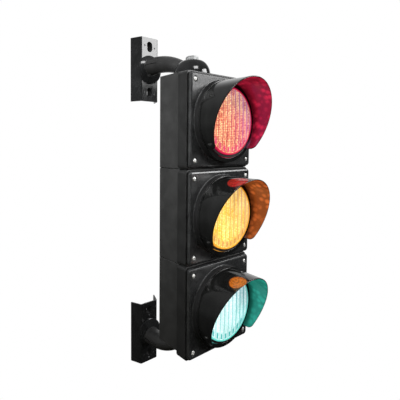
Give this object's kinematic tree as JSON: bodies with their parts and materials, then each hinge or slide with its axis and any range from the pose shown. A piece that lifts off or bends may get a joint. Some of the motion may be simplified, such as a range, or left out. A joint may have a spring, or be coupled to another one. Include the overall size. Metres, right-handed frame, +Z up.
{
  "type": "traffic signal head",
  "caption": "Three-light traffic signal head with cutaway visors, stacked housings and two wall or pole brackets it turns between.",
  "frame": {"origin": "on the wall plane behind the two plates, centred across the head and level with the middle light's centre", "axes": "+Z up; the lights face -Y and the wall is at +Y; +X to the right of someone facing the lights"},
  "size_m": [0.1606, 0.3054, 0.742],
  "materials": {
    "housing_plastic": "fine moulded texture, black, satin",
    "cover_plastic": "fine moulded texture, black, semi-gloss",
    "visor_plastic": "smooth black, semi-gloss",
    "cap_plastic": "smooth black, glossy",
    "seal_rubber": "matte black",
    "stainless_steel": "satin bright screw heads",
    "zinc_steel": "zinc plated, satin",
    "coated_steel": "black powder coat, satin sheen",
    "bracket_coating": "black powder coat over cast arm, matte",
    "carrier_plastic": "white moulded, matte",
    "circuit_board": "green solder mask",
    "coupling_nylon": "natural grey nylon",
    "lens_red": "fluted clear-tinted lens, lit red",
    "lens_amber": "fluted clear-tinted lens, lit amber",
    "lens_green": "fluted clear-tinted lens, lit green"
  },
  "bodies": {
    "wall_brackets": {"wall_plate_upper": "coated_steel", "bracket_arm_upper": "bracket_coating", "arm_bolt_upper": "zinc_steel", "hub_cap_upper": "cap_plastic", "hub_bolt_upper": "zinc_steel", "hub_nut_upper": "zinc_steel", "wall_plate_lower": "coated_steel", "bracket_arm_lower": "bracket_coating", "arm_bolt_lower": "zinc_steel", "hub_cap_lower": "cap_plastic", "hub_bolt_lower": "zinc_steel", "hub_nut_lower": "zinc_steel"},
    "head": {"housing_red": "housing_plastic", "led_carrier_red": "carrier_plastic", "led_board_red": "circuit_board", "driver_board_red": "circuit_board", "housing_amber": "housing_plastic", "led_carrier_amber": "carrier_plastic", "led_board_amber": "circuit_board", "driver_board_amber": "circuit_board", "housing_green": "housing_plastic", "led_carrier_green": "carrier_plastic", "led_board_green": "circuit_board", "driver_board_green": "circuit_board", "section_coupling_upper": "coupling_nylon", "coupling_nut_upper": "coupling_nylon", "section_coupling_lower": "coupling_nylon", "coupling_nut_lower": "coupling_nylon", "terminal_block": "coupling_nylon", "cable_grommet": "seal_rubber"},
    "front_red": {"cover_red": "cover_plastic", "cover_gasket_red": "seal_rubber", "lens_red": "lens_red", "lens_ring_red": "cover_plastic", "visor_red": "visor_plastic", "cover_screw_red_top_left": "stainless_steel", "cover_screw_red_top_right": "stainless_steel", "cover_screw_red_bottom_left": "stainless_steel", "cover_screw_red_bottom_right": "stainless_steel"},
    "front_amber": {"cover_amber": "cover_plastic", "cover_gasket_amber": "seal_rubber", "lens_amber": "lens_amber", "lens_ring_amber": "cover_plastic", "visor_amber": "visor_plastic", "cover_screw_amber_top_left": "stainless_steel", "cover_screw_amber_top_right": "stainless_steel", "cover_screw_amber_bottom_left": "stainless_steel", "cover_screw_amber_bottom_right": "stainless_steel"},
    "front_green": {"cover_green": "cover_plastic", "cover_gasket_green": "seal_rubber", "lens_green": "lens_green", "lens_ring_green": "cover_plastic", "visor_green": "visor_plastic", "cover_screw_green_top_left": "stainless_steel", "cover_screw_green_top_right": "stainless_steel", "cover_screw_green_bottom_left": "stainless_steel", "cover_screw_green_bottom_right": "stainless_steel"}
  },
  "joints": [
    {"name": "head_turn", "type": "hinge", "parent": "wall_brackets", "child": "head", "pos_m": [0, -0.1583, 0], "axis": [0, 0, 1], "range_deg": [-90, 90]},
    {"name": "front_red_pull", "type": "slide", "parent": "head", "child": "front_red", "axis": [0, -1, 0], "range_m": [0, 0.11]},
    {"name": "front_amber_pull", "type": "slide", "parent": "head", "child": "front_amber", "axis": [0, -1, 0], "range_m": [0, 0.11]},
    {"name": "front_green_pull", "type": "slide", "parent": "head", "child": "front_green", "axis": [0, -1, 0], "range_m": [0, 0.11]}
  ]
}
